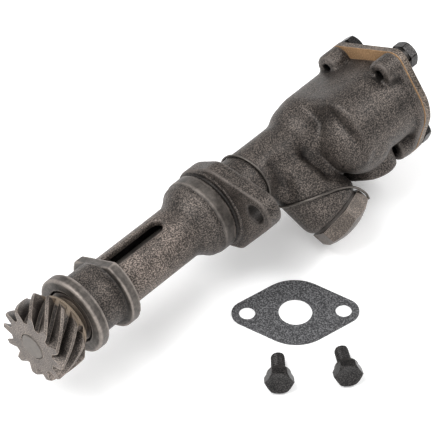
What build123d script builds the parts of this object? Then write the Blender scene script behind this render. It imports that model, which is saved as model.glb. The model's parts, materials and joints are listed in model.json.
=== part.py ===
from build123d import *
from math import acos, atan2, cos, hypot, pi, radians, sin
import os

# Engine oil pump: a camshaft-driven gear pump in a long cast housing.
# Millimetres, +Z up, lying on its side as it does on a bench. The pump axis
# is X, with the drive gear at -X and the gear chamber at +X. X = 0 is the
# face of the hold-down flange, where the pump seats on the engine block.

# ---------------------------------------------------------------- fits
RUNNING_GAP = 0.04  # radial clearance of a turning or sliding fit
SEAT_GAP = 0.02  # radial clearance of a piece fixed in its hole
END_GAP = 0.05  # axial clearance beside a turning face
TIP_GAP = 0.06  # gear tips to chamber wall

# ---------------------------------------------------------------- housing, along the axis
FLANGE_THICKNESS = 8.0
PILOT_RELIEF = 2.8  # undercut between the pilot and the flange
PILOT_WIDTH = 6.6  # machined band that locates the pump in the block
PILOT_ROUGH = 2.6  # as-cast part of the same collar
SHOULDER_LENGTH = 6.6  # taper from the tube up to the collar
TUBE_LENGTH = 42.4
RING_WIDTH = 4.7
GROOVE_WIDTH = 13.7
NOSE_WIDTH = 5.5
NECK_LENGTH = 47.0  # flange to the start of the gear housing's slope
HOUSING_SLOPE = 6.0
CHAMBER_FLOOR = 9.0  # housing wall in front of the gears
CHAMBER_DEPTH = 26.0

# ---------------------------------------------------------------- housing, across the axis
NOSE_RADIUS = 18.0
RING_RADIUS = 17.8
GROOVE_RADIUS = 14.3
TUBE_RADIUS = 12.7
PILOT_ROUGH_RADIUS = 17.4
PILOT_RADIUS = 18.0
PILOT_RELIEF_RADIUS = 16.8
FLANGE_HUB_RADIUS = 19.2
NECK_RADIUS = 12.5
RING_FLAT = 13.4  # axis to the flat on the ring
NOSE_RECESS_RADIUS = 12.6
NOSE_RECESS_DEPTH = 2.0
GALLERY_RADIUS = 9.5  # oil space around the shaft
BUSHING_WALL = 2.0
BUSHING_LENGTH = 13.0
EDGE_CHAMFER = 0.7

# ---------------------------------------------------------------- directions around the axis
EAR_ANGLE = 30.0  # flange ear and idler gear, up from the near side
SLOT_ANGLE = 101.0
SLOT_WIDTH = 7.0
SLOT_LENGTH = 32.4

# ---------------------------------------------------------------- hold-down flange
EAR_REACH = 30.0
EAR_RADIUS = 8.6
EAR_HOLE_RADIUS = 4.3
EAR_SHOULDER_REACH = 8.0
EAR_SHOULDER_OFFSET = 10.8
EAR_SHOULDER_RADIUS = 9.4

# ---------------------------------------------------------------- shaft and camshaft gear
SHAFT_RADIUS = 6.35
SHAFT_END_CHAMFER = 0.8
SHAFT_PROUD = 0.4
CAM_GEAR_TEETH = 12
CAM_GEAR_RADIUS = 17.6
CAM_GEAR_ROOT_RADIUS = 12.4
CAM_GEAR_FACE = 15.9
CAM_GEAR_TWIST = 50.0  # left-hand helix over the face width
CAM_GEAR_RUNOUT = 2.4
CAM_GEAR_BEVEL = 0.6
CAM_HUB_RADIUS = 12.5
CAM_HUB_LENGTH = 4.0
CAM_HUB_STEP_RADIUS = 9.4
CAM_GEAR_STANDOFF = 22.2  # gear face to the nose of the housing
CAM_PIN_RADIUS = 1.5
CAM_PIN_ANGLE = 27.0
THRUST_WASHER_THICKNESS = 1.6
THRUST_WASHER_RADIUS = 11.6

# ---------------------------------------------------------------- pump gears
PUMP_TEETH = 10
PUMP_MODULE = 25.4 / 12  # twelve diametral pitch
PUMP_TOOTH_BACKLASH = 0.3
KEY_WIDTH = 3.0
KEY_LENGTH = 14.0
KEY_DEPTH = 1.9
IDLER_SHAFT_RADIUS = 4.76
IDLER_SHAFT_SEAT = 8.0  # length pressed into the housing

# ---------------------------------------------------------------- gear housing and cover
SHAFT_SIDE_RADIUS = 17.3
IDLER_SIDE_RADIUS = 18.4
INLET_SIDE = (10.0, 13.0, 20.0)  # rim lobe over the inlet: along, down, radius
RIM_IDLER = (22.0, 2.0, 19.0)
RIM_THICKNESS = 3.0
BOLT_PLACES = ((-1.6, -17.9), (32.0, -17.0), (21.5, 22.0), (-11.5, 15.5))
BOLT_LUG_RADIUS = 6.2
TOP_LUG_LENGTH = 9.5
TOP_EDGE_SETBACK = 4.2  # housing edge inside the cover between the top lugs
TAP_RADIUS = 3.18
TAP_DEPTH = 7.6
TAP_MOUTH_RADIUS = 2.3
GASKET_THICKNESS = 0.5
COVER_THICKNESS = 3.8
IDLER_BOSS = (22.0, 5.0, 16.2)  # along, down, dome radius
IDLER_BOSS_CENTRE = 8.5  # dome centre behind the housing's front face
PORT_RADIUS = 4.5
PORT_DEPTH = 5.0
DELIVERY_RADIUS = 2.4
DELIVERY_PLACE = (9.0, -6.4)

# ---------------------------------------------------------------- bolts
BOLT_RADIUS = 3.12
BOLT_CLEARANCE_RADIUS = 3.6
BOLT_HEAD_FLATS = 11.1
BOLT_HEAD_HEIGHT = 4.2
LOCK_WASHER_THICKNESS = 1.6
LOCK_WASHER_OUTER = 5.4
LOCK_WASHER_SPLIT = 1.0
COVER_BOLT_LENGTH = 11.6
PICKUP_BOLT_LENGTH = 12.0

# ---------------------------------------------------------------- pickup pad and its gasket
PAD_X = 75.8
PAD_ALONG = -2.0  # pad centre towards the ear side
PAD_DROP = 26.4  # axis to the pad face
PAD_HOLE_SPACING = 42.0
PAD_EAR_RADIUS = 7.8
PAD_WAIST_RADIUS = 16.0
PAD_THICKNESS = 6.8
INLET_RADIUS = 7.4
PICKUP_GASKET_THICKNESS = 0.8
PICKUP_GASKET_WAIST_RADIUS = 18.2
PICKUP_GASKET_EAR_RADIUS = 6.8
PICKUP_GASKET_HOLE_RADIUS = 3.6
PAD_TAP_DEPTH = 12.0

# ---------------------------------------------------------------- relief valve
VALVE_X = 40.4  # where its axis crosses the pump axis
VALVE_ANGLE = -34.7  # around the pump axis
VALVE_LEAN = 13.9  # towards the gear chamber
VALVE_BOSS_RADIUS = 15.0
VALVE_BOSS_END = 35.6
VALVE_BOSS_ROUND = 2.0
VALVE_BORE_RADIUS = 7.0
VALVE_SEAT = 15.0
VALVE_PORT_RADIUS = 4.0
PLUNGER_LENGTH = 9.0
PLUNGER_WALL = 1.6
PLUNGER_FLOOR = 3.0
VALVE_TRAVEL = 4.0
PLUG_THREAD_RADIUS = 9.4
PLUG_THREAD_LENGTH = 7.0
PLUG_HEX_FLATS = 25.4
PLUG_HEX_HEIGHT = 6.0
PLUG_HEX_TURN = 45.2
PLUG_CROWN = 3.4
PLUG_BORE_RADIUS = 5.6
PLUG_ROOF = 3.2
PLUG_GASKET_THICKNESS = 1.2
PLUG_GASKET_RADIUS = 12.5
SPRING_WIRE_RADIUS = 0.7
SPRING_RADIUS = 4.2
SPRING_TURNS = 6
BYPASS_RADIUS = 2.4
BYPASS_AT = 19.5

# ---------------------------------------------------------------- lock wire
WIRE_RADIUS = 0.55
WIRE_X = 22.6

# ---------------------------------------------------------------- places worked out from the sizes
pilot_rear = -PILOT_RELIEF
pilot_front = pilot_rear - PILOT_WIDTH
collar_front = pilot_front - PILOT_ROUGH
shoulder_front = collar_front - SHOULDER_LENGTH
ring_rear = shoulder_front - TUBE_LENGTH
ring_front = ring_rear - RING_WIDTH
nose_rear = ring_front - GROOVE_WIDTH
nose_front = nose_rear - NOSE_WIDTH
cam_gear_front = nose_front - CAM_GEAR_STANDOFF
cam_gear_rear = cam_gear_front + CAM_GEAR_FACE
cam_hub_rear = cam_gear_rear + CAM_HUB_LENGTH
recess_floor = nose_front + NOSE_RECESS_DEPTH
neck_end = FLANGE_THICKNESS + NECK_LENGTH - HOUSING_SLOPE
housing_front = neck_end + HOUSING_SLOPE + HOUSING_SLOPE
chamber_front = housing_front + CHAMBER_FLOOR
housing_rear = chamber_front + CHAMBER_DEPTH
cover_front = housing_rear + GASKET_THICKNESS
cover_rear = cover_front + COVER_THICKNESS
bushing_bore = SHAFT_RADIUS + RUNNING_GAP
bushing_radius = bushing_bore + BUSHING_WALL
gear_centres = PUMP_TEETH * PUMP_MODULE
pump_gear_radius = (PUMP_TEETH + 2) * PUMP_MODULE / 2
pump_root_radius = (PUMP_TEETH - 2.5) * PUMP_MODULE / 2
pocket_radius = pump_gear_radius + TIP_GAP
valve_end = VALVE_BOSS_END + PLUG_GASKET_THICKNESS
plug_thread_start = valve_end - PLUG_THREAD_LENGTH - PLUG_GASKET_THICKNESS
plug_roof = valve_end + PLUG_HEX_HEIGHT + PLUG_CROWN - PLUG_ROOF

ear_direction = (0, -cos(radians(EAR_ANGLE)), sin(radians(EAR_ANGLE)))
valve_direction = Vector(
    sin(radians(VALVE_LEAN)),
    -cos(radians(VALVE_ANGLE)) * cos(radians(VALVE_LEAN)),
    sin(radians(VALVE_ANGLE)) * cos(radians(VALVE_LEAN)),
)
valve_side = Vector(
    cos(radians(VALVE_LEAN)),
    cos(radians(VALVE_ANGLE)) * sin(radians(VALVE_LEAN)),
    -sin(radians(VALVE_ANGLE)) * sin(radians(VALVE_LEAN)),
)
valve_plane = Plane(origin=(VALVE_X, 0, 0), x_dir=valve_side, z_dir=valve_direction)
valve_axis = Axis((VALVE_X, 0, 0), valve_direction)
# Half-section of the valve: local x runs out along its axis, local y is radius.
valve_section = Plane(
    origin=(VALVE_X, 0, 0), x_dir=valve_direction, z_dir=valve_plane.x_dir
)


def across(x):
    """Plane square to the pump axis: local x to the ear, local y to the pickup."""
    return Plane(origin=(x, 0, 0), x_dir=ear_direction, z_dir=(1, 0, 0))


pickup_direction = across(0).y_dir
pad_centre = Vector(PAD_X, 0, 0) + across(0).x_dir * PAD_ALONG
pad_plane = Plane(
    origin=pad_centre + pickup_direction * PAD_DROP,
    x_dir=across(0).x_dir,
    z_dir=pickup_direction,
)


def around(points, axis=Axis.X, plane=Plane.XZ, mode=Mode.ADD):
    """Turn a closed profile of (along, radius) points about its axis."""
    with BuildSketch(plane) as profile:
        with BuildLine():
            Polyline(*points, close=True)
        make_face()
    revolve(profile.sketch, axis=axis, mode=mode)


def bore(radius, start, end, x=0.0, y=0.0):
    """Cut a round hole along the pump axis."""
    with BuildSketch(across(start)) as circle:
        with Locations((x, y)):
            Circle(radius)
    extrude(circle.sketch, amount=end - start, mode=Mode.SUBTRACT)


def valve_bore(radius, start, end):
    """Cut a round hole along the relief valve's axis."""
    with BuildSketch(valve_plane.offset(start)) as circle:
        Circle(radius)
    extrude(circle.sketch, amount=end - start, mode=Mode.SUBTRACT)


def gear_pockets(radius):
    """The two round pockets that hold the meshed gears."""
    with Locations((0, 0), (gear_centres, 0)):
        Circle(radius)


def belt(*rounds):
    """Outline of a belt pulled tight round circles (x, y, radius), taken anticlockwise."""
    runs = []
    for (x1, y1, r1), (x2, y2, r2) in zip(rounds, rounds[1:] + rounds[:1]):
        normal = atan2(y2 - y1, x2 - x1) - acos((r1 - r2) / hypot(x2 - x1, y2 - y1))
        leave = (x1 + r1 * cos(normal), y1 + r1 * sin(normal))
        arrive = (x2 + r2 * cos(normal), y2 + r2 * sin(normal))
        runs.append((leave, arrive, normal))
    with BuildLine(Plane.XY) as outline:
        for index, (leave, arrive, normal) in enumerate(runs):
            next_leave, _, next_normal = runs[(index + 1) % len(runs)]
            x, y, radius = rounds[(index + 1) % len(rounds)]
            middle = normal + (next_normal - normal) % (2 * pi) / 2
            Line(leave, arrive)
            ThreePointArc(
                arrive,
                (x + radius * cos(middle), y + radius * sin(middle)),
                next_leave,
            )
    make_face(outline.edges())


def rim_outline():
    """Outline of the cover, its gasket and the housing's rim."""
    first, second, third, fourth = [(*place, BOLT_LUG_RADIUS) for place in BOLT_PLACES]
    belt((0, 0, SHAFT_SIDE_RADIUS), first, second, RIM_IDLER, third, INLET_SIDE, fourth)


def pad_outline(ear_radius, waist_radius):
    """Two-eared outline of the pickup pad or of its gasket."""
    waist = (0, 0, waist_radius)
    reach = PAD_HOLE_SPACING / 2
    belt((-reach, 0, ear_radius), waist, (reach, 0, ear_radius), waist)


def spindle_profile():
    """Outside of the turned and cast length from the nose to the housing."""
    return [
        (nose_front, 0),
        (nose_front, NOSE_RADIUS - EDGE_CHAMFER),
        (nose_front + EDGE_CHAMFER, NOSE_RADIUS),
        (nose_rear - EDGE_CHAMFER, NOSE_RADIUS),
        (nose_rear, NOSE_RADIUS - EDGE_CHAMFER),
        (nose_rear, GROOVE_RADIUS),
        (ring_front, GROOVE_RADIUS),
        (ring_front, RING_RADIUS),
        (ring_rear, RING_RADIUS),
        (ring_rear, TUBE_RADIUS),
        (shoulder_front, TUBE_RADIUS),
        (collar_front - 1.2 * EDGE_CHAMFER, PILOT_ROUGH_RADIUS - 2 * EDGE_CHAMFER),
        (collar_front, PILOT_ROUGH_RADIUS),
        (pilot_front, PILOT_ROUGH_RADIUS),
        (pilot_front + EDGE_CHAMFER, PILOT_RADIUS),
        (pilot_rear, PILOT_RADIUS),
        (pilot_rear, PILOT_RELIEF_RADIUS),
        (-EDGE_CHAMFER, PILOT_RELIEF_RADIUS),
        (-EDGE_CHAMFER, FLANGE_HUB_RADIUS - EDGE_CHAMFER),
        (0, FLANGE_HUB_RADIUS),
        (0, NECK_RADIUS),
        (neck_end, NECK_RADIUS),
        (neck_end + HOUSING_SLOPE, SHAFT_SIDE_RADIUS - 2 * EDGE_CHAMFER),
        (housing_front, SHAFT_SIDE_RADIUS - EDGE_CHAMFER),
        (chamber_front, SHAFT_SIDE_RADIUS - EDGE_CHAMFER),
        (chamber_front, 0),
    ]


# ================================================================ housing
with BuildPart() as pump_body:
    around(spindle_profile())

    # Relief valve boss.
    around(
        [
            (0, 0),
            (0, NECK_RADIUS - EDGE_CHAMFER),
            (VALVE_SEAT, VALVE_BOSS_RADIUS - EDGE_CHAMFER),
            (VALVE_BOSS_END - 2 * VALVE_BOSS_ROUND, VALVE_BOSS_RADIUS),
            (VALVE_BOSS_END - VALVE_BOSS_ROUND, VALVE_BOSS_RADIUS - EDGE_CHAMFER / 2),
            (VALVE_BOSS_END, VALVE_BOSS_RADIUS - EDGE_CHAMFER / 2 - 0.6 * VALVE_BOSS_ROUND),
            (VALVE_BOSS_END, 0),
        ],
        axis=valve_axis,
        plane=valve_section,
    )

    # Hold-down flange with one ear.
    with BuildSketch(across(0)):
        belt(
            (0, 0, FLANGE_HUB_RADIUS),
            (EAR_SHOULDER_REACH, -EAR_SHOULDER_OFFSET, EAR_SHOULDER_RADIUS),
            (EAR_REACH, 0, EAR_RADIUS),
            (EAR_SHOULDER_REACH, EAR_SHOULDER_OFFSET, EAR_SHOULDER_RADIUS),
        )
    extrude(amount=FLANGE_THICKNESS)

    # Gear housing, wide enough for both gears.
    with BuildSketch(across(housing_front)):
        belt((0, 0, SHAFT_SIDE_RADIUS), (gear_centres, 0, IDLER_SIDE_RADIUS))
    extrude(amount=housing_rear - housing_front)

    # Domed boss around the idler shaft's seat.
    with Locations(
        across(housing_front + IDLER_BOSS_CENTRE)
        * Location((IDLER_BOSS[0], IDLER_BOSS[1], 0))
    ):
        Sphere(IDLER_BOSS[2])

    # Rim that carries the cover, cut back between the two top lugs.
    with BuildSketch(across(housing_rear)):
        rim_outline()
        with Locations((0, -SHAFT_SIDE_RADIUS - 2 * TOP_EDGE_SETBACK)):
            Rectangle(
                6 * BOLT_LUG_RADIUS + 2 * gear_centres,
                4 * TOP_EDGE_SETBACK - TOP_EDGE_SETBACK / 2,
                mode=Mode.SUBTRACT,
            )
    extrude(amount=-RIM_THICKNESS)
    for place in BOLT_PLACES:
        with BuildSketch(across(housing_rear)):
            with Locations(place):
                Circle(BOLT_LUG_RADIUS)
        extrude(amount=-TOP_LUG_LENGTH)

    # Pickup pad on the underside, with a neck up to the housing.
    with BuildSketch(pad_plane):
        pad_outline(PAD_EAR_RADIUS, PAD_WAIST_RADIUS)
    extrude(amount=-PAD_THICKNESS)
    with BuildSketch(pad_plane):
        belt(
            (0, 0, PAD_WAIST_RADIUS - EDGE_CHAMFER),
            (gear_centres, 0, PAD_WAIST_RADIUS - BOLT_LUG_RADIUS),
        )
    extrude(amount=-(PAD_DROP - EDGE_CHAMFER))

    # Flat across the ring near the nose.
    with BuildSketch(across(ring_front)):
        with Locations((0, -RING_FLAT - RING_RADIUS)):
            Rectangle(4 * RING_RADIUS, 2 * RING_RADIUS)
    extrude(amount=RING_WIDTH, mode=Mode.SUBTRACT)

    # Shaft bore: thrust recess, bushing seats and the oil gallery between them.
    bore(NOSE_RECESS_RADIUS, nose_front, recess_floor)
    bore(bushing_radius + SEAT_GAP, recess_floor, chamber_front)
    gallery_front = recess_floor + BUSHING_LENGTH
    gallery_rear = chamber_front - BUSHING_LENGTH
    bore(GALLERY_RADIUS, gallery_front, gallery_rear)

    # Oil slot along the tube.
    slot_plane = Plane(
        origin=(ring_rear, 0, 0),
        x_dir=(1, 0, 0),
        z_dir=(0, -cos(radians(SLOT_ANGLE)), sin(radians(SLOT_ANGLE))),
    )
    with BuildSketch(slot_plane):
        with Locations((SLOT_LENGTH / 2, 0)):
            RectangleRounded(SLOT_LENGTH, SLOT_WIDTH, SLOT_WIDTH / 2 - EDGE_CHAMFER / 2)
        Rectangle(SLOT_WIDTH, SLOT_WIDTH, align=(Align.MIN, Align.CENTER))
    extrude(amount=RING_RADIUS, mode=Mode.SUBTRACT)

    # Ear bolt hole.
    bore(EAR_HOLE_RADIUS, 0, FLANGE_THICKNESS, EAR_REACH, 0)

    # Gear chamber with its inlet and outlet ports.
    with BuildSketch(across(chamber_front)):
        gear_pockets(pocket_radius)
    extrude(amount=CHAMBER_DEPTH, mode=Mode.SUBTRACT)
    port_offset = pocket_radius * 0.72
    for side in (1, -1):
        bore(
            PORT_RADIUS,
            chamber_front - PORT_DEPTH,
            chamber_front + CHAMBER_DEPTH / 2,
            gear_centres / 2,
            side * port_offset,
        )
    bore(DELIVERY_RADIUS, gallery_rear - PORT_RADIUS, chamber_front, *DELIVERY_PLACE)
    bore(
        IDLER_SHAFT_RADIUS + SEAT_GAP,
        chamber_front - IDLER_SHAFT_SEAT,
        chamber_front,
        gear_centres,
        0,
    )

    # Tapped holes for the cover bolts, open at the lugs' backs.
    for place in BOLT_PLACES:
        bore(TAP_RADIUS, housing_rear - TAP_DEPTH, housing_rear, *place)
        bore(TAP_MOUTH_RADIUS, housing_rear - TOP_LUG_LENGTH, housing_rear - TAP_DEPTH, *place)

    # Inlet bore and tapped holes in the pickup pad.
    with BuildSketch(pad_plane):
        Circle(INLET_RADIUS)
    extrude(amount=-(PAD_DROP - pocket_radius * 0.6), mode=Mode.SUBTRACT)
    with BuildSketch(pad_plane):
        with Locations((PAD_HOLE_SPACING / 2, 0), (-PAD_HOLE_SPACING / 2, 0)):
            Circle(TAP_RADIUS)
    extrude(amount=-PAD_TAP_DEPTH, mode=Mode.SUBTRACT)

    # Relief valve: port from the gallery, valve bore, plug thread and bypass.
    valve_bore(VALVE_PORT_RADIUS, 0, VALVE_SEAT)
    valve_bore(VALVE_BORE_RADIUS, VALVE_SEAT, VALVE_BOSS_END)
    valve_bore(PLUG_THREAD_RADIUS + SEAT_GAP, plug_thread_start - SEAT_GAP, VALVE_BOSS_END)
    bypass_start = valve_axis.position + valve_axis.direction * BYPASS_AT
    bypass_plane = Plane(origin=bypass_start, x_dir=ear_direction, z_dir=(1, 0, 0))
    with BuildSketch(bypass_plane):
        Circle(BYPASS_RADIUS)
    extrude(amount=PAD_X - bypass_start.X, mode=Mode.SUBTRACT)
pump_body.part.label = "pump_body"


# ================================================================ cover and gasket
def cover_plate(thickness, start, hole_radius, window):
    """A plate of the rim's outline with its bolt holes."""
    with BuildSketch(across(start)) as plate:
        rim_outline()
        with Locations(*BOLT_PLACES):
            Circle(hole_radius, mode=Mode.SUBTRACT)
    extrude(plate.sketch, amount=thickness)
    if window:
        with BuildSketch(across(start)) as opening:
            gear_pockets(pocket_radius)
        extrude(opening.sketch, amount=thickness, mode=Mode.SUBTRACT)


with BuildPart() as cover_gasket:
    cover_plate(GASKET_THICKNESS, housing_rear, BOLT_CLEARANCE_RADIUS, True)
cover_gasket.part.label = "cover_gasket"

with BuildPart() as pump_cover:
    cover_plate(COVER_THICKNESS, cover_front, BOLT_CLEARANCE_RADIUS, False)
    chamfer(pump_cover.faces().sort_by(Axis.X)[-1].outer_wire().edges(), EDGE_CHAMFER)
pump_cover.part.label = "pump_cover"


# ================================================================ bolts and lock washers
def hex_bolt(plane, length):
    """Hex bolt whose shank starts at the plane and runs against its normal."""
    with BuildSketch(plane.offset(LOCK_WASHER_THICKNESS)) as head:
        RegularPolygon(BOLT_HEAD_FLATS / 2, 6, major_radius=False)
    extrude(head.sketch, amount=BOLT_HEAD_HEIGHT)
    with BuildSketch(plane.offset(LOCK_WASHER_THICKNESS)) as shank:
        Circle(BOLT_RADIUS)
    extrude(shank.sketch, amount=-(length + LOCK_WASHER_THICKNESS))


def lock_washer(plane):
    """Split ring that lies on the plane."""
    with BuildSketch(plane) as ring:
        Circle(LOCK_WASHER_OUTER)
        Circle(BOLT_RADIUS + SEAT_GAP, mode=Mode.SUBTRACT)
        with Locations((LOCK_WASHER_OUTER / 2 + BOLT_RADIUS / 2, 0)):
            Rectangle(LOCK_WASHER_OUTER, LOCK_WASHER_SPLIT, rotation=25, mode=Mode.SUBTRACT)
    extrude(ring.sketch, amount=LOCK_WASHER_THICKNESS)


cover_bolt_planes = [
    Plane(
        origin=across(cover_rear).from_local_coords((x, y, 0)),
        x_dir=ear_direction,
        z_dir=(1, 0, 0),
    )
    for x, y in BOLT_PLACES
]
with BuildPart() as cover_bolts:
    for bolt_plane in cover_bolt_planes:
        hex_bolt(bolt_plane, COVER_BOLT_LENGTH)
cover_bolts.part.label = "cover_bolts"

with BuildPart() as cover_lock_washers:
    for bolt_plane in cover_bolt_planes:
        lock_washer(bolt_plane)
cover_lock_washers.part.label = "cover_lock_washers"

# ================================================================ drive shaft and its bushings
shaft_front = cam_gear_front - SHAFT_PROUD
shaft_rear = housing_rear - END_GAP
key_middle = chamber_front + CHAMBER_DEPTH / 2
with BuildPart() as drive_shaft:
    with BuildSketch(across(shaft_front)):
        Circle(SHAFT_RADIUS)
    extrude(amount=shaft_rear - shaft_front)
    chamfer(drive_shaft.edges().group_by(Axis.X)[0], SHAFT_END_CHAMFER)
    # Seat of the pump gear's key, and the hole for the cam gear's pin.
    with BuildSketch(across(key_middle - KEY_LENGTH / 2)):
        with Locations((0, SHAFT_RADIUS)):
            Rectangle(KEY_WIDTH, 2 * KEY_DEPTH)
    extrude(amount=KEY_LENGTH, mode=Mode.SUBTRACT)
    cam_pin_plane = Plane(
        origin=(cam_gear_rear + CAM_HUB_LENGTH / 3, 0, 0),
        x_dir=(1, 0, 0),
        z_dir=(0, -cos(radians(CAM_PIN_ANGLE)), sin(radians(CAM_PIN_ANGLE))),
    )
    with BuildSketch(cam_pin_plane):
        Circle(CAM_PIN_RADIUS + SEAT_GAP)
    extrude(amount=CAM_HUB_RADIUS, both=True, mode=Mode.SUBTRACT)
drive_shaft.part.label = "drive_shaft"


def bushing(front, rear):
    """Plain bearing between the shaft and the housing."""
    with BuildSketch(across(front)) as ring:
        Circle(bushing_radius)
        Circle(bushing_bore, mode=Mode.SUBTRACT)
    extrude(ring.sketch, amount=rear - front)


with BuildPart() as nose_bushing:
    bushing(recess_floor, gallery_front)
nose_bushing.part.label = "nose_bushing"

with BuildPart() as chamber_bushing:
    bushing(gallery_rear, chamber_front)
chamber_bushing.part.label = "chamber_bushing"

# ================================================================ camshaft gear
CAM_TOOTH_PITCH = 360 / CAM_GEAR_TEETH


def cam_tooth_points():
    """Outline of the cam gear: each tooth as root, flank, tip, flank."""
    points = []
    for tooth in range(CAM_GEAR_TEETH):
        centre = tooth * CAM_TOOTH_PITCH
        for share, radius in (
            (-0.34, CAM_GEAR_ROOT_RADIUS),
            (-0.22, (CAM_GEAR_ROOT_RADIUS + CAM_GEAR_RADIUS) / 2),
            (-0.10, CAM_GEAR_RADIUS),
            (0.10, CAM_GEAR_RADIUS),
            (0.22, (CAM_GEAR_ROOT_RADIUS + CAM_GEAR_RADIUS) / 2),
            (0.34, CAM_GEAR_ROOT_RADIUS),
        ):
            angle = radians(centre + share * CAM_TOOTH_PITCH)
            points.append((radius * cos(angle), radius * sin(angle)))
    return points


with BuildSketch(across(cam_gear_front)) as cam_gear_face:
    with BuildLine():
        Polyline(*cam_tooth_points(), close=True)
    make_face()
cam_gear_twisted = Solid.extrude_linear_with_rotation(
    cam_gear_face.sketch.face(),
    center=(cam_gear_front, 0, 0),
    normal=(CAM_GEAR_FACE + CAM_GEAR_RUNOUT, 0, 0),
    angle=-CAM_GEAR_TWIST * (CAM_GEAR_FACE + CAM_GEAR_RUNOUT) / CAM_GEAR_FACE,
)
with BuildPart() as cam_drive_gear:
    add(cam_gear_twisted)
    # The teeth are bevelled in front and run out on to the hub behind.
    around(
        [
            (cam_gear_front, 0),
            (cam_gear_front, CAM_GEAR_RADIUS - CAM_GEAR_BEVEL),
            (cam_gear_front + CAM_GEAR_BEVEL, CAM_GEAR_RADIUS),
            (cam_gear_rear - CAM_GEAR_RUNOUT, CAM_GEAR_RADIUS),
            (cam_gear_rear + CAM_GEAR_RUNOUT, CAM_GEAR_ROOT_RADIUS),
            (cam_gear_rear + CAM_GEAR_RUNOUT, 0),
        ],
        mode=Mode.INTERSECT,
    )
    thrust_front = recess_floor - END_GAP - THRUST_WASHER_THICKNESS
    around(
        [
            (cam_gear_rear, 0),
            (cam_gear_rear, CAM_HUB_RADIUS),
            (cam_hub_rear - EDGE_CHAMFER, CAM_HUB_RADIUS),
            (cam_hub_rear, CAM_HUB_RADIUS - EDGE_CHAMFER),
            (cam_hub_rear, CAM_HUB_STEP_RADIUS),
            (thrust_front, CAM_HUB_STEP_RADIUS),
            (thrust_front, 0),
        ]
    )
    bore(SHAFT_RADIUS + SEAT_GAP, cam_gear_front, thrust_front)
    with BuildSketch(cam_pin_plane):
        Circle(CAM_PIN_RADIUS + SEAT_GAP)
    extrude(amount=CAM_GEAR_RADIUS, both=True, mode=Mode.SUBTRACT)
cam_drive_gear.part.label = "cam_drive_gear"

with BuildPart() as cam_gear_pin:
    with BuildSketch(cam_pin_plane):
        Circle(CAM_PIN_RADIUS)
    extrude(amount=CAM_HUB_RADIUS - EDGE_CHAMFER, both=True)
cam_gear_pin.part.label = "cam_gear_pin"

with BuildPart() as thrust_washer:
    with BuildSketch(across(thrust_front)):
        Circle(THRUST_WASHER_RADIUS)
        Circle(SHAFT_RADIUS + RUNNING_GAP, mode=Mode.SUBTRACT)
    extrude(amount=THRUST_WASHER_THICKNESS)
thrust_washer.part.label = "thrust_washer"


# ================================================================ pump gears
def pump_tooth_points(turn):
    """Outline of a spur pump gear, with one tooth centred on the turn angle."""
    pitch = 360 / PUMP_TEETH
    pitch_radius = PUMP_TEETH * PUMP_MODULE / 2
    half_tooth = 90 / PUMP_TEETH - PUMP_TOOTH_BACKLASH / pitch_radius * 90 / pi
    points = []
    for tooth in range(PUMP_TEETH):
        centre = turn + tooth * pitch
        for spread, radius in (
            (-1.45, pump_root_radius),
            (-1.1, (pump_root_radius + pitch_radius) / 2),
            (-1.0, pitch_radius),
            (-0.74, (pitch_radius + pump_gear_radius) / 2),
            (-0.36, pump_gear_radius),
            (0.36, pump_gear_radius),
            (0.74, (pitch_radius + pump_gear_radius) / 2),
            (1.0, pitch_radius),
            (1.1, (pump_root_radius + pitch_radius) / 2),
            (1.45, pump_root_radius),
        ):
            angle = radians(centre + spread * half_tooth)
            points.append((radius * cos(angle), radius * sin(angle)))
    return points


def pump_gear(x, turn, bore_radius):
    """Spur gear that fills the chamber's depth."""
    with BuildSketch(across(chamber_front + END_GAP)) as gear:
        with Locations((x, 0)):
            Polygon(*pump_tooth_points(turn), align=None)
            Circle(bore_radius, mode=Mode.SUBTRACT)
    extrude(gear.sketch, amount=CHAMBER_DEPTH + GASKET_THICKNESS - 2 * END_GAP)


with BuildPart() as driver_pump_gear:
    pump_gear(0, 0, SHAFT_RADIUS + SEAT_GAP)
    with BuildSketch(across(chamber_front + END_GAP)):
        with Locations((0, SHAFT_RADIUS)):
            Rectangle(KEY_WIDTH + 2 * SEAT_GAP, 2 * (KEY_DEPTH + SEAT_GAP) - KEY_DEPTH)
    extrude(amount=CHAMBER_DEPTH + GASKET_THICKNESS, mode=Mode.SUBTRACT)
driver_pump_gear.part.label = "driver_pump_gear"

with BuildPart() as pump_gear_key:
    with BuildSketch(across(key_middle - KEY_LENGTH / 2 + END_GAP)):
        with Locations((0, SHAFT_RADIUS - KEY_DEPTH / 4)):
            Rectangle(KEY_WIDTH - 2 * SEAT_GAP, 1.5 * KEY_DEPTH - 2 * SEAT_GAP)
    extrude(amount=KEY_LENGTH - 2 * END_GAP)
pump_gear_key.part.label = "pump_gear_key"

with BuildPart() as idler_pump_gear:
    pump_gear(gear_centres, 180 + 180 / PUMP_TEETH, IDLER_SHAFT_RADIUS + RUNNING_GAP)
idler_pump_gear.part.label = "idler_pump_gear"

with BuildPart() as idler_shaft:
    with BuildSketch(across(chamber_front - IDLER_SHAFT_SEAT)):
        with Locations((gear_centres, 0)):
            Circle(IDLER_SHAFT_RADIUS)
    extrude(amount=IDLER_SHAFT_SEAT + CHAMBER_DEPTH - END_GAP)
idler_shaft.part.label = "idler_shaft"

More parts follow.
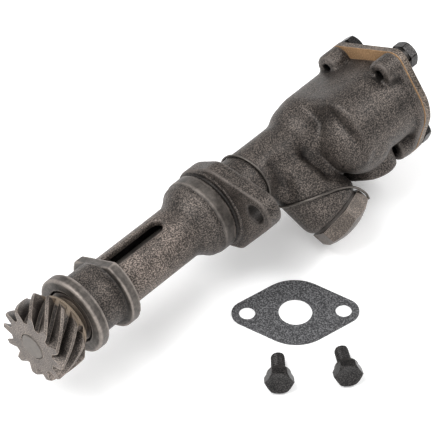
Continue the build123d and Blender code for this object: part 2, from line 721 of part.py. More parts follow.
# ================================================================ relief valve
with BuildPart() as relief_valve_plunger:
    plunger_face = VALVE_SEAT + END_GAP
    around(
        [
            (plunger_face, 0),
            (plunger_face, VALVE_BORE_RADIUS - RUNNING_GAP - EDGE_CHAMFER),
            (plunger_face + EDGE_CHAMFER, VALVE_BORE_RADIUS - RUNNING_GAP),
            (plunger_face + PLUNGER_LENGTH, VALVE_BORE_RADIUS - RUNNING_GAP),
            (
                plunger_face + PLUNGER_LENGTH,
                VALVE_BORE_RADIUS - RUNNING_GAP - PLUNGER_WALL,
            ),
            (
                plunger_face + PLUNGER_FLOOR,
                VALVE_BORE_RADIUS - RUNNING_GAP - PLUNGER_WALL,
            ),
            (plunger_face + PLUNGER_FLOOR, 0),
        ],
        axis=valve_axis,
        plane=valve_section,
    )
relief_valve_plunger.part.label = "relief_valve_plunger"

with BuildPart() as relief_valve_plug:
    around(
        [
            (plug_thread_start, PLUG_BORE_RADIUS),
            (plug_thread_start, PLUG_THREAD_RADIUS - EDGE_CHAMFER),
            (plug_thread_start + EDGE_CHAMFER, PLUG_THREAD_RADIUS),
            (valve_end, PLUG_THREAD_RADIUS),
            (valve_end, PLUG_BORE_RADIUS),
        ],
        axis=valve_axis,
        plane=valve_section,
    )
    with BuildSketch(valve_plane.offset(valve_end)):
        RegularPolygon(
            PLUG_HEX_FLATS / 2, 6, major_radius=False, rotation=PLUG_HEX_TURN
        )
    extrude(amount=PLUG_HEX_HEIGHT + PLUG_CROWN)
    # The crown is turned: a flat end inside a broad bevel.
    hex_corner = PLUG_HEX_FLATS / 2 / cos(pi / 6)
    around(
        [
            (plug_thread_start, 0),
            (plug_thread_start, hex_corner),
            (valve_end + PLUG_HEX_HEIGHT, hex_corner),
            (valve_end + PLUG_HEX_HEIGHT + 0.6 * PLUG_CROWN, PLUG_HEX_FLATS / 2 - PLUG_CROWN / 2),
            (valve_end + PLUG_HEX_HEIGHT + PLUG_CROWN, PLUG_HEX_FLATS / 2 - 1.6 * PLUG_CROWN),
            (valve_end + PLUG_HEX_HEIGHT + PLUG_CROWN, 0),
        ],
        axis=valve_axis,
        plane=valve_section,
        mode=Mode.INTERSECT,
    )
    valve_bore(PLUG_BORE_RADIUS, plug_thread_start, plug_roof)
relief_valve_plug.part.label = "relief_valve_plug"

with BuildPart() as relief_plug_gasket:
    with BuildSketch(valve_plane.offset(VALVE_BOSS_END)):
        Circle(PLUG_GASKET_RADIUS)
        Circle(PLUG_THREAD_RADIUS + SEAT_GAP, mode=Mode.SUBTRACT)
    extrude(amount=PLUG_GASKET_THICKNESS)
relief_plug_gasket.part.label = "relief_plug_gasket"

spring_start = plunger_face + PLUNGER_FLOOR + SPRING_WIRE_RADIUS
spring_end = plug_roof - SPRING_WIRE_RADIUS
spring_path = valve_plane.offset(spring_start) * Helix(
    pitch=(spring_end - spring_start) / SPRING_TURNS,
    height=spring_end - spring_start,
    radius=SPRING_RADIUS,
)
with BuildPart() as relief_valve_spring:
    with BuildSketch(Plane(origin=spring_path @ 0, z_dir=spring_path % 0)):
        RegularPolygon(SPRING_WIRE_RADIUS, 16)
    sweep(path=spring_path)
relief_valve_spring.part.label = "relief_valve_spring"

# ================================================================ lock wire
wire_loop_radius = NECK_RADIUS + WIRE_RADIUS + SEAT_GAP
with BuildPart() as lock_wire:
    with BuildSketch(Plane.XZ):
        with Locations((WIRE_X, wire_loop_radius)):
            Circle(WIRE_RADIUS)
    revolve(axis=Axis.X)
lock_wire.part.label = "lock_wire"

# ================================================================ loose pickup gasket and bolts
bench = min(
    piece.part.bounding_box().min.Z for piece in (pump_body, relief_valve_plug, pump_cover)
)
KIT_GASKET_PLACE = (5.7, -45.4)
KIT_GASKET_TURN = -44.7
KIT_BOLTS = ((-28.1, -66.4, -135.2), (-5.5, -84.6, -127.2))
with BuildPart() as pickup_gasket:
    gasket_plane = Plane(
        origin=(*KIT_GASKET_PLACE, bench),
        x_dir=(cos(radians(KIT_GASKET_TURN)), sin(radians(KIT_GASKET_TURN)), 0),
        z_dir=(0, 0, 1),
    )
    with BuildSketch(gasket_plane):
        pad_outline(PICKUP_GASKET_EAR_RADIUS, PICKUP_GASKET_WAIST_RADIUS)
        Circle(INLET_RADIUS, mode=Mode.SUBTRACT)
        with Locations((PAD_HOLE_SPACING / 2, 0), (-PAD_HOLE_SPACING / 2, 0)):
            Circle(PICKUP_GASKET_HOLE_RADIUS, mode=Mode.SUBTRACT)
    extrude(amount=PICKUP_GASKET_THICKNESS)
pickup_gasket.part.label = "pickup_gasket"


def lying_plane(x, y, heading):
    """Seat plane of a bolt that lies on the bench, its head towards heading."""
    reach = PICKUP_BOLT_LENGTH + LOCK_WASHER_THICKNESS
    tilt = (BOLT_HEAD_FLATS / 2 - BOLT_RADIUS) / reach
    direction = Vector(cos(radians(heading)), sin(radians(heading)), tilt).normalized()
    height = bench + BOLT_HEAD_FLATS / 2 - LOCK_WASHER_THICKNESS * tilt + 2 * SEAT_GAP
    level = (-sin(radians(heading)), cos(radians(heading)), 0)
    return Plane(origin=(x, y, height), z_dir=direction, x_dir=level)


pickup_bolt_planes = [lying_plane(*place) for place in KIT_BOLTS]
with BuildPart() as pickup_bolts:
    for bolt_plane in pickup_bolt_planes:
        hex_bolt(bolt_plane, PICKUP_BOLT_LENGTH)
pickup_bolts.part.label = "pickup_bolts"

with BuildPart() as pickup_lock_washers:
    for bolt_plane in pickup_bolt_planes:
        lock_washer(bolt_plane)
pickup_lock_washers.part.label = "pickup_lock_washers"

# ================================================================ one STEP file for each piece
# The pieces are written with their origin in the middle of the pilot band.
to_row_frame = Location((-(pilot_front + pilot_rear) / 2, 0, 0))
os.makedirs("parts", exist_ok=True)
for piece in (
    pump_body,
    cover_gasket,
    pump_cover,
    cover_bolts,
    cover_lock_washers,
    drive_shaft,
    nose_bushing,
    chamber_bushing,
    cam_drive_gear,
    cam_gear_pin,
    thrust_washer,
    driver_pump_gear,
    pump_gear_key,
    idler_pump_gear,
    idler_shaft,
    relief_valve_plunger,
    relief_valve_plug,
    relief_plug_gasket,
    relief_valve_spring,
    lock_wire,
    pickup_gasket,
    pickup_bolts,
    pickup_lock_washers,
):
    placed = piece.part.moved(to_row_frame)
    placed.label = piece.part.label
    export_step(placed, f"parts/{placed.label}.step")
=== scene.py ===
import json
from math import cos, pi, radians, sin, tau

import bmesh
import bpy
import numpy as np
from mathutils import Matrix, Vector


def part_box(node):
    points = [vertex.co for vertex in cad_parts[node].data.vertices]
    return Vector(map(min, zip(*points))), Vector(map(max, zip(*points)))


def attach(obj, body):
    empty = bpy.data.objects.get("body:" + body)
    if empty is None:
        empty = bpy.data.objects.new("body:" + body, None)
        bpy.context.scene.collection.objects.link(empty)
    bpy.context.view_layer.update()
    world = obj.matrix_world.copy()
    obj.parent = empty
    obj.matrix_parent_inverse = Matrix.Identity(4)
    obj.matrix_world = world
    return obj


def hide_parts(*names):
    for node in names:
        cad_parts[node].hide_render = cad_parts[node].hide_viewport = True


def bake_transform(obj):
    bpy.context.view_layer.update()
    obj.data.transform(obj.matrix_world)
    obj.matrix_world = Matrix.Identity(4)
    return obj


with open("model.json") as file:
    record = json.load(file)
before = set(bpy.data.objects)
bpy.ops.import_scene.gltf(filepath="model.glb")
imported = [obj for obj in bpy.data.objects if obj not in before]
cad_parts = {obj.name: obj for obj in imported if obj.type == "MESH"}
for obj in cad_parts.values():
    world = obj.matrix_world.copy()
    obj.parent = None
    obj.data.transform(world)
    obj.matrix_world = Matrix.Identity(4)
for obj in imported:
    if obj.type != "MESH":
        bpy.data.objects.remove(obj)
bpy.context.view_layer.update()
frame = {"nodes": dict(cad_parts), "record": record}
nodes = frame["nodes"]
scene = bpy.context.scene

# Lengths below are in millimetres, and at() turns them into the frame's metres.
MM = 0.001
ORIGIN_X = 6.1  # the flange face lies this far along +X from the row's origin
EAR = Vector((0, -cos(radians(30)), sin(radians(30))))  # across the axis, to the ear
PICKUP = Vector((0, -0.5, -cos(radians(30))))  # across the axis, to the pickup pad
FLOOR_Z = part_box("pickup_gasket")[0][2]

# The relief valve's own axis.
LEAN, TURN = radians(13.9), radians(-34.7)
VALVE_FOOT = Vector((40.4 + ORIGIN_X, 0, 0)) * MM
VALVE_AXIS = Vector((sin(LEAN), -cos(TURN) * cos(LEAN), sin(TURN) * cos(LEAN)))

# Stations along the pump, from the flange face.
NOSE_REAR = -79.0
RING = (-66.2, -60.4)
TUBE_REAR = -20.0
PILOT = (-9.5, -2.7)
FLANGE = (-9.9, 0.9)
CHAMBER_FRONT = 69.5
LUG_FRONT = 84.0
RIM_FRONT = 95.4
COVER_REAR = 100.3

EAR_REACH = 30.0  # from the axis to the ear's bolt hole
EAR_MIDDLE = 3.0  # halfway through the flange
IDLER_REACH = 21.17  # from the axis to the idler gear's pin
RIM_PLACES = ((-1.6, -17.9), (32.0, -17.0), (21.5, 22.0), (-11.5, 15.5))  # cover bolts: ear, pickup

# Bolts, as the solids have them.
BOLT_FLATS = 11.1
HEAD_HEIGHT = 4.2
WASHER = 1.6
BOLT_RADIUS = 3.12
COVER_BOLT_LENGTH = 11.6
PICKUP_BOLT_LENGTH = 12.0
THREAD_PITCH = 1.27
THREAD_DEPTH = 0.42
SEAT_GAP = 0.02
LOOSE_BOLTS = ((-28.1, -66.4, -135.2), (-5.5, -84.6, -127.2))  # x, y, heading

# The housing's skin: mesh size, and hollows by the boss (from, to, reach, depth).
VOXEL = 0.55
HOLLOWS = (
    ((31.5, 12.5, -3.0), (31.9, 12.4, 11.0), 3.4, 2.0),
    ((47.6, 14.0, 1.0), (50.2, 20.0, 10.5), 3.2, 2.6),
    ((61.0, 24.0, -14.0), (60.5, 33.0, 0.0), 2.2, 0.9),
)

# The lock wire. Its strands lie on the boss, and one runs on to the corner of the plug.
WIRE_RADIUS = 0.55
NECK_LOOP_RADIUS = 13.2
WIRE_STRANDS = (
    ((23.6, 6.0, 11.9), (26.2, 3.6, 14.4), (28.6, 6.0, 17.2), (29.6, 10.6, 17.4),
     (31.6, 15.4, 16.7), (34.3, 19.1, 16.2), (36.8, 21.4, 16.3), (39.7, 23.3, 16.3),
     (42.7, 24.7, 16.9), (46.3, 25.6, 17.4), (50.0, 26.2, 18.7), (54.2, 26.0, 20.7),
     (57.6, 25.4, 23.4), (60.0, 25.0, 26.4), (61.6, 25.4, 29.6), (61.0, 25.9, 31.6)),
    ((22.6, -8.5, 10.6), (25.4, -4.6, 13.4), (28.8, 0.4, 16.9), (29.7, 4.6, 17.9),
     (29.8, 8.2, 18.0), (30.4, 11.6, 17.8)),
)


def at(x, ear=0.0, pickup=0.0):
    """A point in metres from millimetres behind the flange face, to the ear, to the pad."""
    return (Vector((x + ORIGIN_X, 0, 0)) + EAR * ear + PICKUP * pickup) * MM


# ---------------------------------------------------------------- materials
class Shader:
    """A small procedural material, built node by node."""

    def __init__(self, name):
        self.material = bpy.data.materials.new(name)
        self.material.use_nodes = True
        self.tree = self.material.node_tree
        self.tree.nodes.clear()
        self.out = self.node("ShaderNodeOutputMaterial")
        self.surface = self.node("ShaderNodeBsdfPrincipled")
        self.link(self.surface.outputs[0], self.out.inputs[0])
        self.where = self.node("ShaderNodeTexCoord").outputs["Object"]

    def node(self, kind):
        return self.tree.nodes.new(kind)

    def link(self, source, target):
        self.tree.links.new(source, target)

    def put(self, value, socket):
        """Sets a socket to a number or a colour, or links it."""
        if isinstance(value, (int, float)):
            socket.default_value = value
        elif isinstance(value, tuple):
            socket.default_value = (*value, 1)
        else:
            self.link(value, socket)

    def noise(self, size_mm, detail=4.0, rough=0.55, squash=None):
        """Noise whose features are about size_mm across."""
        texture = self.node("ShaderNodeTexNoise")
        texture.inputs["Scale"].default_value = 1.0 / (size_mm * MM)
        texture.inputs["Detail"].default_value = detail
        texture.inputs["Roughness"].default_value = rough
        if squash:
            mapping = self.node("ShaderNodeMapping")
            mapping.inputs["Scale"].default_value = squash
            self.link(self.where, mapping.inputs[0])
            self.link(mapping.outputs[0], texture.inputs["Vector"])
        else:
            self.link(self.where, texture.inputs["Vector"])
        return texture.outputs[0]

    def ramp(self, factor, stops):
        """Colours (position, colour) along a factor."""
        ramp = self.node("ShaderNodeValToRGB")
        ramp.color_ramp.elements[0].position = stops[0][0]
        ramp.color_ramp.elements[0].color = (*stops[0][1], 1)
        ramp.color_ramp.elements[1].position = stops[-1][0]
        ramp.color_ramp.elements[1].color = (*stops[-1][1], 1)
        for position, colour in stops[1:-1]:
            ramp.color_ramp.elements.new(position).color = (*colour, 1)
        self.link(factor, ramp.inputs[0])
        return ramp.outputs[0]

    def spread(self, factor, low, high, out_low, out_high):
        """Maps a factor's range on to another, clamped."""
        spread = self.node("ShaderNodeMapRange")
        for index, value in enumerate((low, high, out_low, out_high)):
            spread.inputs[index + 1].default_value = value
        self.link(factor, spread.inputs[0])
        return spread.outputs[0]

    def mix(self, factor, first, second, blend="MIX"):
        """Mixes two colours, each a socket or a constant."""
        mix = self.node("ShaderNodeMix")
        mix.data_type = "RGBA"
        mix.blend_type = blend
        for index, value in ((0, factor), (6, first), (7, second)):
            self.put(value, mix.inputs[index])
        return mix.outputs[2]

    def bumps(self, *heights):
        """Stacks bumps (factor, strength, distance in mm)."""
        normal = None
        for factor, strength, distance in heights:
            bump = self.node("ShaderNodeBump")
            bump.inputs["Strength"].default_value = strength
            bump.inputs["Distance"].default_value = distance * MM
            self.link(factor, bump.inputs["Height"])
            if normal is not None:
                self.link(normal, bump.inputs["Normal"])
            normal = bump.outputs[0]
        self.link(normal, self.surface.inputs["Normal"])

    def occlusion_shade(self, reach_mm=5.0):
        """1 in the open, falling to 0 in corners and hollows: ambient occlusion, used to paint
        shade into colours.
        """
        shade = self.node("ShaderNodeAmbientOcclusion")
        shade.inputs["Distance"].default_value = reach_mm * MM
        shade.samples = 8
        return shade.outputs["AO"]

    def edge_wear_and_highlight(self):
        """1 on edges, 0 on flats: how far a rounded normal leans from the real one. It brightens
        edges, partly as scuffing, partly as painted highlight.
        """
        rounded = self.node("ShaderNodeBevel")
        rounded.samples = 6
        rounded.inputs["Radius"].default_value = 0.5 * MM
        product = self.node("ShaderNodeVectorMath")
        product.operation = "DOT_PRODUCT"
        self.link(rounded.outputs[0], product.inputs[0])
        self.link(self.node("ShaderNodeNewGeometry").outputs["Normal"], product.inputs[1])
        return self.spread(product.outputs["Value"], 0.78, 0.99, 0.9, 0.0)

    def mask(self, name):
        """A number stored on the mesh, 0 where the mesh has none."""
        stored = self.node("ShaderNodeAttribute")
        stored.attribute_name = name
        return stored.outputs["Fac"]

    def finish(self, colour, rough, metal):
        for name, value in (("Base Color", colour), ("Roughness", rough), ("Metallic", metal)):
            self.put(value, self.surface.inputs[name])
        return self.material


def shade(colour, factor):
    return tuple(min(1.0, c * factor) for c in colour)


def cast_metal(name, colour, grain_mm=0.55, rough=(0.42, 0.62), metal=0.55, edge=None, bump=0.5,
               turned=None, shade_floor=0.38, speckle=0.85, hub=None):
    """Sand-cast iron: pebbled and cloudy, its bright specks partly painted glints, with painted
    shade in the corners, and edges brighter partly from scuffing, partly as painted highlight.

    turned is the colour of machined bands on a mesh that stores where they are, and hub is
    the place along X, in metres, behind which the metal has a colour of its own.
    """
    s = Shader(name)
    cloud = s.noise(9.0, 5.0, 0.6)
    grain = s.noise(grain_mm, 3.0, 0.6)
    base = s.ramp(cloud, [(0.3, shade(colour, 0.6)), (0.5, colour), (0.72, shade(colour, 1.4))])
    # Grain: bright specks here are partly real pebbled grain, partly painted glints.
    grains = [(0.41, (0.2, 0.195, 0.19)), (0.5, (0.82, 0.81, 0.8)), (0.60, (3.0, 2.9, 2.8))]
    grain_and_glints = s.ramp(grain, grains)
    base = s.mix(speckle, base, grain_and_glints, "MULTIPLY")
    # Painted shade: ambient occlusion darkens the colour in corners and hollows, down to a floor.
    corner_shade = s.spread(s.occlusion_shade(), 0.35, 1.0, shade_floor, 1.0)
    if turned:
        # Lighter along the tube, by the share stored on the mesh.
        base = s.mix(s.mask("tube_lighter"), base, s.mix(1.0, base, (1.9, 1.86, 1.84), "MULTIPLY"))
    if hub:
        split = s.node("ShaderNodeSeparateXYZ")
        s.link(s.where, split.inputs[0])
        start, hub_colour = hub
        behind = s.spread(split.outputs[0], start, start + 0.6 * MM, 0.0, 1.0)
        base = s.mix(behind, base, hub_colour)
    base = s.mix(1.0, base, corner_shade, "MULTIPLY")
    if not turned:
        # Edges brighter: partly scuffed bare metal, partly painted highlight.
        base = s.mix(s.edge_wear_and_highlight(), base, edge or shade(colour, 1.9))
    roughness = s.spread(cloud, 0.3, 0.7, rough[0], rough[1])
    pebbles = s.noise(3.2, 4.0, 0.5)
    if turned:
        share = s.mask("machined")
        lines = s.noise(0.6, 3.0, 0.6, (8, 0.4, 0.4))
        streak = s.ramp(lines, [(0.3, shade(turned, 0.7)), (0.7, shade(turned, 1.25))])
        blotch = s.noise(4.0, 5.0, 0.65)
        stains_and_shade = s.mix(s.spread(blotch, 0.40, 0.62, 0.85, 0.0), streak, shade(turned, 0.36))
        # Painted shade in the machined bands' corners, on top of their stains.
        stains_and_shade = s.mix(1.0, stains_and_shade, corner_shade, "MULTIPLY")
        base = s.mix(share, base, stains_and_shade)
        # Painted highlight: raised edges brightened, machined ones most.
        glint = s.mix(share, shade(colour, 2.2), shade(turned, 2.8))
        glint_mask = s.mix(1.0, s.mask("ridge"), s.spread(cloud, 0.3, 0.62, 0.25, 1.0), "MULTIPLY")
        base = s.mix(s.spread(glint_mask, 0.1, 1.0, 0.0, 0.85), base, glint)
        # Painted shade: sunk places and bolt holes darkened.
        base = s.mix(s.spread(s.mask("hollow_shade"), 0.05, 0.8, 0.0, 0.75), base, shade(colour, 0.22))
    s.bumps((pebbles, 0.7 * bump, 0.5), (grain, bump, 0.22))
    return s.finish(base, roughness, metal)


def turned_metal(name, colour, rough):
    """Machined steel: fine tool lines and faint oil stains."""
    s = Shader(name)
    lines = s.noise(0.7, 3.0, 0.6, (6, 0.5, 0.5))
    cloud = s.noise(6.0, 5.0, 0.6)
    base = s.ramp(cloud, [(0.32, shade(colour, 0.775)), (0.68, shade(colour, 1.15))])
    streak = s.ramp(lines, [(0.3, (0.82, 0.81, 0.8)), (0.7, (1.12, 1.11, 1.1))])
    base = s.mix(0.7, base, streak, "MULTIPLY")
    # Painted shade: ambient occlusion darkens the colour in corners.
    corner_shade = s.spread(s.occlusion_shade(3.0), 0.3, 1.0, 0.4, 1.0)
    base = s.mix(1.0, base, corner_shade, "MULTIPLY")
    # Edges brighter: partly scuffed bare metal, partly painted highlight.
    base = s.mix(s.edge_wear_and_highlight(), base, shade(colour, 1.6))
    s.bumps((lines, 0.12, 0.08), (s.noise(0.5, 2.0), 0.12, 0.08))
    return s.finish(base, s.spread(cloud, 0.3, 0.7, rough, rough + 0.16), 0.85)


def sheet_paper(name, colour, fleck, rough=0.8, fibre_mm=0.35, flecked=(0.60, 0.70, 0.85)):
    """Gasket sheet: flat, fibrous, with pale flecks."""
    s = Shader(name)
    fibre = s.noise(fibre_mm, 3.0, 0.6)
    cloud = s.noise(7.0, 3.0, 0.5)
    base = s.ramp(cloud, [(0.3, shade(colour, 0.85)), (0.7, shade(colour, 1.15))])
    spots = s.spread(fibre, flecked[0], flecked[1], 0.0, flecked[2])
    base = s.mix(spots, base, fleck)
    s.bumps((fibre, 0.3, 0.06))
    return s.finish(base, rough, 0.0)


LOOKS = {
    "cast_housing": cast_metal(
        "cast_housing_look", (0.056, 0.048, 0.043), turned=(0.12, 0.105, 0.094)),
    "cast_cover": cast_metal("cast_cover_look", (0.105, 0.087, 0.073), 0.5, bump=0.3),
    "cover_paper": sheet_paper(
        "cover_paper_look", (0.21, 0.12, 0.056), (0.40, 0.25, 0.125), 0.8, 0.5, (0.5, 0.66, 0.8)),
    "bolt_steel": cast_metal(
        "bolt_steel_look", (0.022, 0.021, 0.021), 0.5, (0.3, 0.45), 0.7,
        edge=(0.085, 0.08, 0.077), bump=0.25),
    "washer_steel": turned_metal("washer_steel_look", (0.045, 0.042, 0.040), 0.35),
    "shaft_steel": turned_metal("shaft_steel_look", (0.155, 0.14, 0.127), 0.34),
    "gear_iron": cast_metal(
        "gear_iron_look", (0.125, 0.108, 0.097), 0.5, (0.40, 0.55), 0.6,
        edge=(0.42, 0.35, 0.295), bump=0.3, shade_floor=0.26, speckle=0.55,
        hub=(-0.0858, (0.36, 0.285, 0.215))),
    "pin_steel": turned_metal("pin_steel_look", (0.20, 0.17, 0.15), 0.4),
    "bearing_bronze": turned_metal("bearing_bronze_look", (0.42, 0.28, 0.12), 0.32),
    "pump_gear_steel": turned_metal("pump_gear_steel_look", (0.30, 0.29, 0.28), 0.3),
    "valve_steel": turned_metal("valve_steel_look", (0.38, 0.37, 0.36), 0.22),
    "spring_steel": turned_metal("spring_steel_look", (0.22, 0.21, 0.20), 0.3),
    "plug_steel": cast_metal(
        "plug_steel_look", (0.100, 0.084, 0.073), 0.5, (0.36, 0.5), 0.6, bump=0.3, speckle=0.45),
    "plug_washer": sheet_paper("plug_washer_look", (0.055, 0.047, 0.042), (0.09, 0.08, 0.07)),
    "wire_steel": turned_metal("wire_steel_look", (0.12, 0.108, 0.098), 0.35),
    "kit_gasket": sheet_paper(
        "kit_gasket_look", (0.016, 0.016, 0.018), (0.16, 0.16, 0.165), 0.7, 0.58,
        (0.46, 0.62, 0.9)),
}
for entry in frame["record"]["subparts"]:
    for material_slot in nodes[entry["node"]].material_slots:
        material_slot.material = LOOKS[entry["material_slot"]]


# ---------------------------------------------------------------- mesh helpers
def new_piece(name, mesh, look, body, *replaced):
    """Puts a mesh in the scene with its look, its body and the nodes it stands for."""
    piece = bpy.data.objects.new(name, mesh)
    scene.collection.objects.link(piece)
    mesh.materials.clear()
    mesh.materials.append(LOOKS[look])
    mesh.shade_smooth()
    if body:
        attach(piece, body)
    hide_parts(*replaced)
    return piece


def voxel_copy(node):
    """A mesh of even small faces over a node's solid."""
    solid = bpy.data.objects.new("housing_copy", nodes[node].data.copy())
    scene.collection.objects.link(solid)
    remesh = solid.modifiers.new("cast", "REMESH")
    remesh.mode = "VOXEL"
    remesh.voxel_size = VOXEL * MM
    graph = bpy.context.evaluated_depsgraph_get()
    mesh = bpy.data.meshes.new_from_object(solid.evaluated_get(graph))
    bpy.data.objects.remove(solid)
    return mesh


class Skin:
    """A mesh's points as an array, with what it takes to move them."""

    def __init__(self, mesh):
        self.mesh = mesh
        self.count = len(mesh.vertices)
        self.points = self.read("co")
        edges = np.empty(len(mesh.edges) * 2, dtype=np.int64)
        mesh.edges.foreach_get("vertices", edges)
        self.edges = edges.reshape(-1, 2)
        self.neighbours = np.bincount(edges, minlength=self.count).astype(float)[:, None]

    def read(self, what):
        """The points' places or normals."""
        values = np.empty(self.count * 3)
        self.mesh.vertices.foreach_get(what, values)
        return values.reshape(-1, 3)

    def write(self):
        """Puts the moved points back and gives their normals."""
        self.mesh.vertices.foreach_set("co", self.points.ravel())
        self.mesh.update()
        return self.read("normal")

    def relax(self, places, turns, strength):
        """Moves each place towards the mean of its neighbours."""
        near, far = self.edges[:, 0], self.edges[:, 1]
        total = np.zeros((self.count, 3))
        for _ in range(turns):
            for axis in range(3):
                total[:, axis] = np.bincount(near, places[far, axis], self.count)
                total[:, axis] += np.bincount(far, places[near, axis], self.count)
            places += (total / self.neighbours - places) * strength

    def store(self, name, values):
        """Keeps a number on each point, for the material."""
        stored = self.mesh.attributes.new(name, "FLOAT", "POINT")
        stored.data.foreach_set("value", values.astype(np.float32))


# ---------------------------------------------------------------- housing
def soft_body():
    """The housing, with rounded cast corners, shallow hollows and machined bands."""
    skin = Skin(voxel_copy("pump_body"))
    points = skin.points
    x = points[:, 0] / MM - ORIGIN_X
    ear = points @ np.array(EAR) / MM
    pad = points @ np.array(PICKUP) / MM
    radius = np.hypot(ear, pad)

    def around(ear_place, pad_place=0.0):
        """Distance from a line along the pump."""
        return np.hypot(ear - ear_place, pad - pad_place)

    def between(low, high, shift=0.0):
        return (x > low + shift) & (x < high + shift)

    # Machined faces and every inside wall keep their edges. The rest is cast.
    in_flange = np.abs(x - EAR_MIDDLE) < 8
    inside = (x < CHAMBER_FRONT) & (radius < 9.9) | (x < -82.7) & (radius < 12.8)
    inside |= (x > CHAMBER_FRONT) & ((radius < 13.3) | (around(IDLER_REACH) < 13.3))
    sharp = inside | (x < NOSE_REAR) | between(*RING) | between(*FLANGE) | (x > RIM_FRONT)
    sharp |= (around(EAR_REACH) < 5.2) & in_flange
    bored = (around(EAR_REACH) < 4.9) & in_flange
    for place in RIM_PLACES:
        sharp |= (around(*place) < 2.9) & (x > LUG_FRONT)
        bored |= (around(*place) < 2.6) & (x > LUG_FRONT)
    cast = 1.0 - sharp
    along_valve = (points / MM - np.array(VALVE_FOOT) / MM) @ np.array(VALVE_AXIS)
    saddle = cast * between(26, 74) * (along_valve < 27)

    skin.relax(points, 14, 0.6 * cast[:, None])
    skin.relax(points, 40, 0.6 * saddle[:, None])
    normals = skin.write()
    for start, end, reach, depth in HOLLOWS:
        start, end = np.array(at(*start)), np.array(at(*end))
        run = end - start
        share = np.clip((points - start) @ run / (run @ run), 0, 1)
        gap = np.linalg.norm(points - start - share[:, None] * run, axis=1) / MM
        points -= normals * (cast * depth * MM * np.exp(-((gap / reach) ** 2)))[:, None]
    skin.relax(points, 6, 0.6 * saddle[:, None])
    normals = skin.write()

    # How far a point stands proud of its surroundings, in millimetres.
    blurred = points.copy()
    skin.relax(blurred, 6, 0.6)
    proud = ((points - blurred) * normals).sum(axis=1) / MM
    turned = (x < NOSE_REAR + 0.1) | between(*RING, 0.1) | between(*PILOT) | (x > RIM_FRONT)
    skin.store("machined", turned | inside)
    # Share of the tube drawn lighter: full from the ring, fading out over the 10 mm before
    # TUBE_REAR.
    skin.store("tube_lighter", np.clip((TUBE_REAR - x) / 10, 0, 1) * (x > RING[1] + 0.1))
    # Raised edges, where the material paints a highlight.
    skin.store("ridge", np.clip(proud / 0.12 - 0.15, 0, 1))
    # Sunk points and bolt holes, where the material paints shade.
    skin.store("hollow_shade", np.maximum(np.clip(-proud / 0.16 - 0.1, 0, 1), bored))
    new_piece("pump_body_cast", skin.mesh, "cast_housing", "housing", "pump_body")


soft_body()


# ---------------------------------------------------------------- bolts
def frame_on(foot, direction):
    """A matrix that puts local Z along a direction at a foot, in metres."""
    turn = direction.to_track_quat("Z", "Y").to_matrix().to_4x4()
    return Matrix.Translation(foot) @ turn


def ring_points(place, sides, z, reach_at):
    """A ring round a bolt's axis, its reach given for each step."""
    points = []
    for index in range(sides):
        angle = tau * index / sides
        reach = reach_at(index, angle)
        points.append(place @ Vector((reach * cos(angle) * MM, reach * sin(angle) * MM, z * MM)))
    return points


def add_rings(builder, rings):
    """Skins rings of points, each a list of the same length, and closes both ends."""
    made = [[builder.verts.new(point) for point in ring] for ring in rings]
    for low, high in zip(made, made[1:]):
        for index in range(len(low)):
            after = (index + 1) % len(low)
            builder.faces.new((low[index], low[after], high[after], high[index]))
    builder.faces.new(list(reversed(made[0])))
    builder.faces.new(made[-1])


def hex_head(builder, place, turn, dish):
    """A hexagon head on its washer, with a turned chamfer on its outer end."""
    corner = BOLT_FLATS / 2 / cos(pi / 6)

    def ring(z, limit):
        def reach_at(_, angle):
            side = BOLT_FLATS / 2 / cos((angle - turn) % (pi / 3) - pi / 6)
            return min(side, limit)

        return ring_points(place, 96, z, reach_at)

    end = WASHER + HEAD_HEIGHT
    rings = [ring(WASHER, corner * 0.985), ring(WASHER + 0.04 * BOLT_FLATS, corner + 1)]
    for step in range(7):
        fall = 0.09 * BOLT_FLATS * (1 - step / 6)
        rings.append(ring(end - fall * 0.58, corner * (1 - 0.13 * step / 6)))
    rings.append(ring(end, BOLT_FLATS * 0.455))
    rings.append(ring(end - dish, BOLT_FLATS * 0.36))
    add_rings(builder, rings)


def threaded_shank(builder, place, end, plain):
    """A threaded rod from the washer down to an end, with a plain stretch under the head."""
    sides = 40
    start = WASHER - 0.01
    steps = int(abs(end - start) / THREAD_PITCH * 10)
    rings = []
    for step in range(steps + 1):
        z = start + (end - start) * step / steps
        cut_in = min(1.0, max(0.0, (abs(z - start) - plain) / 0.8))
        taper = max(0.0, 0.8 - abs(end - z)) * 0.55

        def reach_at(index, _, z=z, cut_in=cut_in, taper=taper):
            crest = abs(2 * ((z / THREAD_PITCH - index / sides) % 1.0) - 1)
            return BOLT_RADIUS - THREAD_DEPTH * min(1.0, 1.5 * (1 - crest)) * cut_in - taper

        rings.append(ring_points(place, sides, z, reach_at))
    add_rings(builder, rings[::-1])


def bolt_set(name, node, places, length, plain, turns, dish):
    """Bolts as one piece: smooth, with sharp edges kept."""
    builder = bmesh.new()
    for place, turn in zip(places, turns):
        hex_head(builder, place, radians(turn), dish)
        threaded_shank(builder, place, -length, plain)
    bmesh.ops.recalc_face_normals(builder, faces=builder.faces)
    mesh = bpy.data.meshes.new(name)
    builder.to_mesh(mesh)
    new_piece(name, mesh, "bolt_steel", "housing", node)
    builder.clear()
    builder.from_mesh(mesh)
    for edge in builder.edges:
        if len(edge.link_faces) == 2 and edge.calc_face_angle(0) > radians(35):
            edge.smooth = False
    builder.to_mesh(mesh)
    builder.free()


def lying_place(x, y, heading):
    """Seat of a loose bolt on the bench, as the solids lie."""
    tilt = (BOLT_FLATS / 2 - BOLT_RADIUS) / (PICKUP_BOLT_LENGTH + WASHER)
    direction = Vector((cos(radians(heading)), sin(radians(heading)), tilt)).normalized()
    height = FLOOR_Z / MM + BOLT_FLATS / 2 - WASHER * tilt + 2 * SEAT_GAP
    return frame_on(Vector((x + ORIGIN_X, y, height)) * MM, direction)


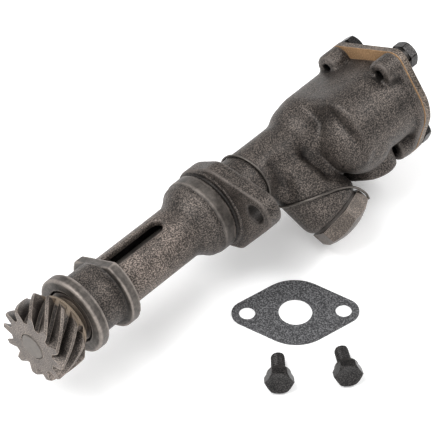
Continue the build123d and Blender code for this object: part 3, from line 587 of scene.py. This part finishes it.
rim_seats = [frame_on(at(COVER_REAR, *place), Vector((1, 0, 0))) for place in RIM_PLACES]
loose_seats = [lying_place(*place) for place in LOOSE_BOLTS]
bolt_set("cover_bolts_cut", "cover_bolts", rim_seats, COVER_BOLT_LENGTH, 4, (11, 28, 45, 62), 0.3)
bolt_set("pickup_bolts_cut", "pickup_bolts", loose_seats, PICKUP_BOLT_LENGTH, 2, (0, 0), 0.5)


# ---------------------------------------------------------------- lock wire
def lock_wire():
    """The loop round the neck, and its two ends over the boss."""
    curve = bpy.data.curves.new("lock_wire_run", "CURVE")
    curve.dimensions = "3D"
    curve.bevel_depth = WIRE_RADIUS * MM
    curve.bevel_resolution = 4

    def run(places, order, closed):
        spline = curve.splines.new("NURBS")
        spline.points.add(len(places) - 1)
        for point, place in zip(spline.points, places):
            point.co = (*at(*place), 1)
        spline.use_cyclic_u = closed
        spline.order_u = order
        spline.use_endpoint_u = not closed

    loop = []
    for index in range(24):
        angle = tau * index / 24
        lean = 22.3 + 1.5 * cos(angle - radians(35))
        loop.append((lean, NECK_LOOP_RADIUS * cos(angle), NECK_LOOP_RADIUS * sin(angle)))
    run(loop, 4, True)
    for strand in WIRE_STRANDS:
        run(strand, 3, False)
    piece = bpy.data.objects.new("lock_wire_run", curve)
    scene.collection.objects.link(piece)
    curve.materials.append(LOOKS["wire_steel"])
    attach(piece, "housing")
    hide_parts("lock_wire")


lock_wire()


# ---------------------------------------------------------------- relief valve spring
def relief_spring():
    """The valve's spring, whose plunger end moves and plug end stays: here a plain copy of its
    solid, on no body.
    """
    mesh = nodes["relief_valve_spring"].data.copy()
    piece = new_piece("relief_spring_coil", mesh, "spring_steel", None, "relief_valve_spring")
    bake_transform(piece)


relief_spring()


# ---------------------------------------------------------------- stage, light and camera
def white_world():
    """Even white light from everywhere."""
    world = bpy.data.worlds.new("studio")
    world.use_nodes = True
    back = world.node_tree.nodes["Background"]
    back.inputs[0].default_value = (1, 1, 1, 1)
    back.inputs[1].default_value = 0.62
    scene.world = world


def pale_floor():
    """A plain white floor under the part."""
    mesh = bpy.data.meshes.new("floor")
    reach = 4.0
    z = FLOOR_Z - 0.2 * MM
    corners = [(-reach, -reach, z), (reach, -reach, z), (reach, reach, z), (-reach, reach, z)]
    mesh.from_pydata(corners, [], [(0, 1, 2, 3)])
    floor = bpy.data.objects.new("floor", mesh)
    scene.collection.objects.link(floor)
    s = Shader("floor_look")
    s.finish((0.93, 0.93, 0.93), 0.9, 0.0)
    s.surface.inputs["Specular IOR Level"].default_value = 0.0
    # The floor glows a little, so that it reads as white.
    glow = s.node("ShaderNodeEmission")
    glow.inputs[1].default_value = 0.16
    add = s.node("ShaderNodeAddShader")
    s.link(s.surface.outputs[0], add.inputs[0])
    s.link(glow.outputs[0], add.inputs[1])
    s.link(add.outputs[0], s.out.inputs[0])
    mesh.materials.append(s.material)


def soft_light(name, place, size, power):
    """A large square lamp that faces the part."""
    data = bpy.data.lights.new(name, "AREA")
    data.shape = "SQUARE"
    data.size = size
    data.energy = power
    lamp = bpy.data.objects.new(name, data)
    lamp.location = place
    lamp.rotation_euler = (-Vector(place)).to_track_quat("-Z", "Y").to_euler()
    scene.collection.objects.link(lamp)


def camera():
    """A long lens from the nose end, above the near side."""
    data = bpy.data.cameras.new("camera")
    data.sensor_width = 36.0
    data.lens = 230.3
    data.shift_x = 0.0163
    data.shift_y = -0.023
    data.clip_end = 20.0
    eye = bpy.data.objects.new("camera", data)
    offset = Vector((-590.18, -556.94, 884.03)) * MM
    eye.location = offset + Vector((ORIGIN_X, 0, 0)) * MM
    eye.rotation_euler = (-offset).to_track_quat("-Z", "Y").to_euler()
    scene.collection.objects.link(eye)
    scene.camera = eye


scene.view_settings.view_transform = "Standard"
white_world()
pale_floor()
soft_light("key", (-0.6, 0.25, 1.1), 0.8, 14)
soft_light("fill", (-1.0, -0.9, 0.7), 0.8, 5)
soft_light("rim", (0.9, -0.3, 0.8), 0.5, 7)
camera()

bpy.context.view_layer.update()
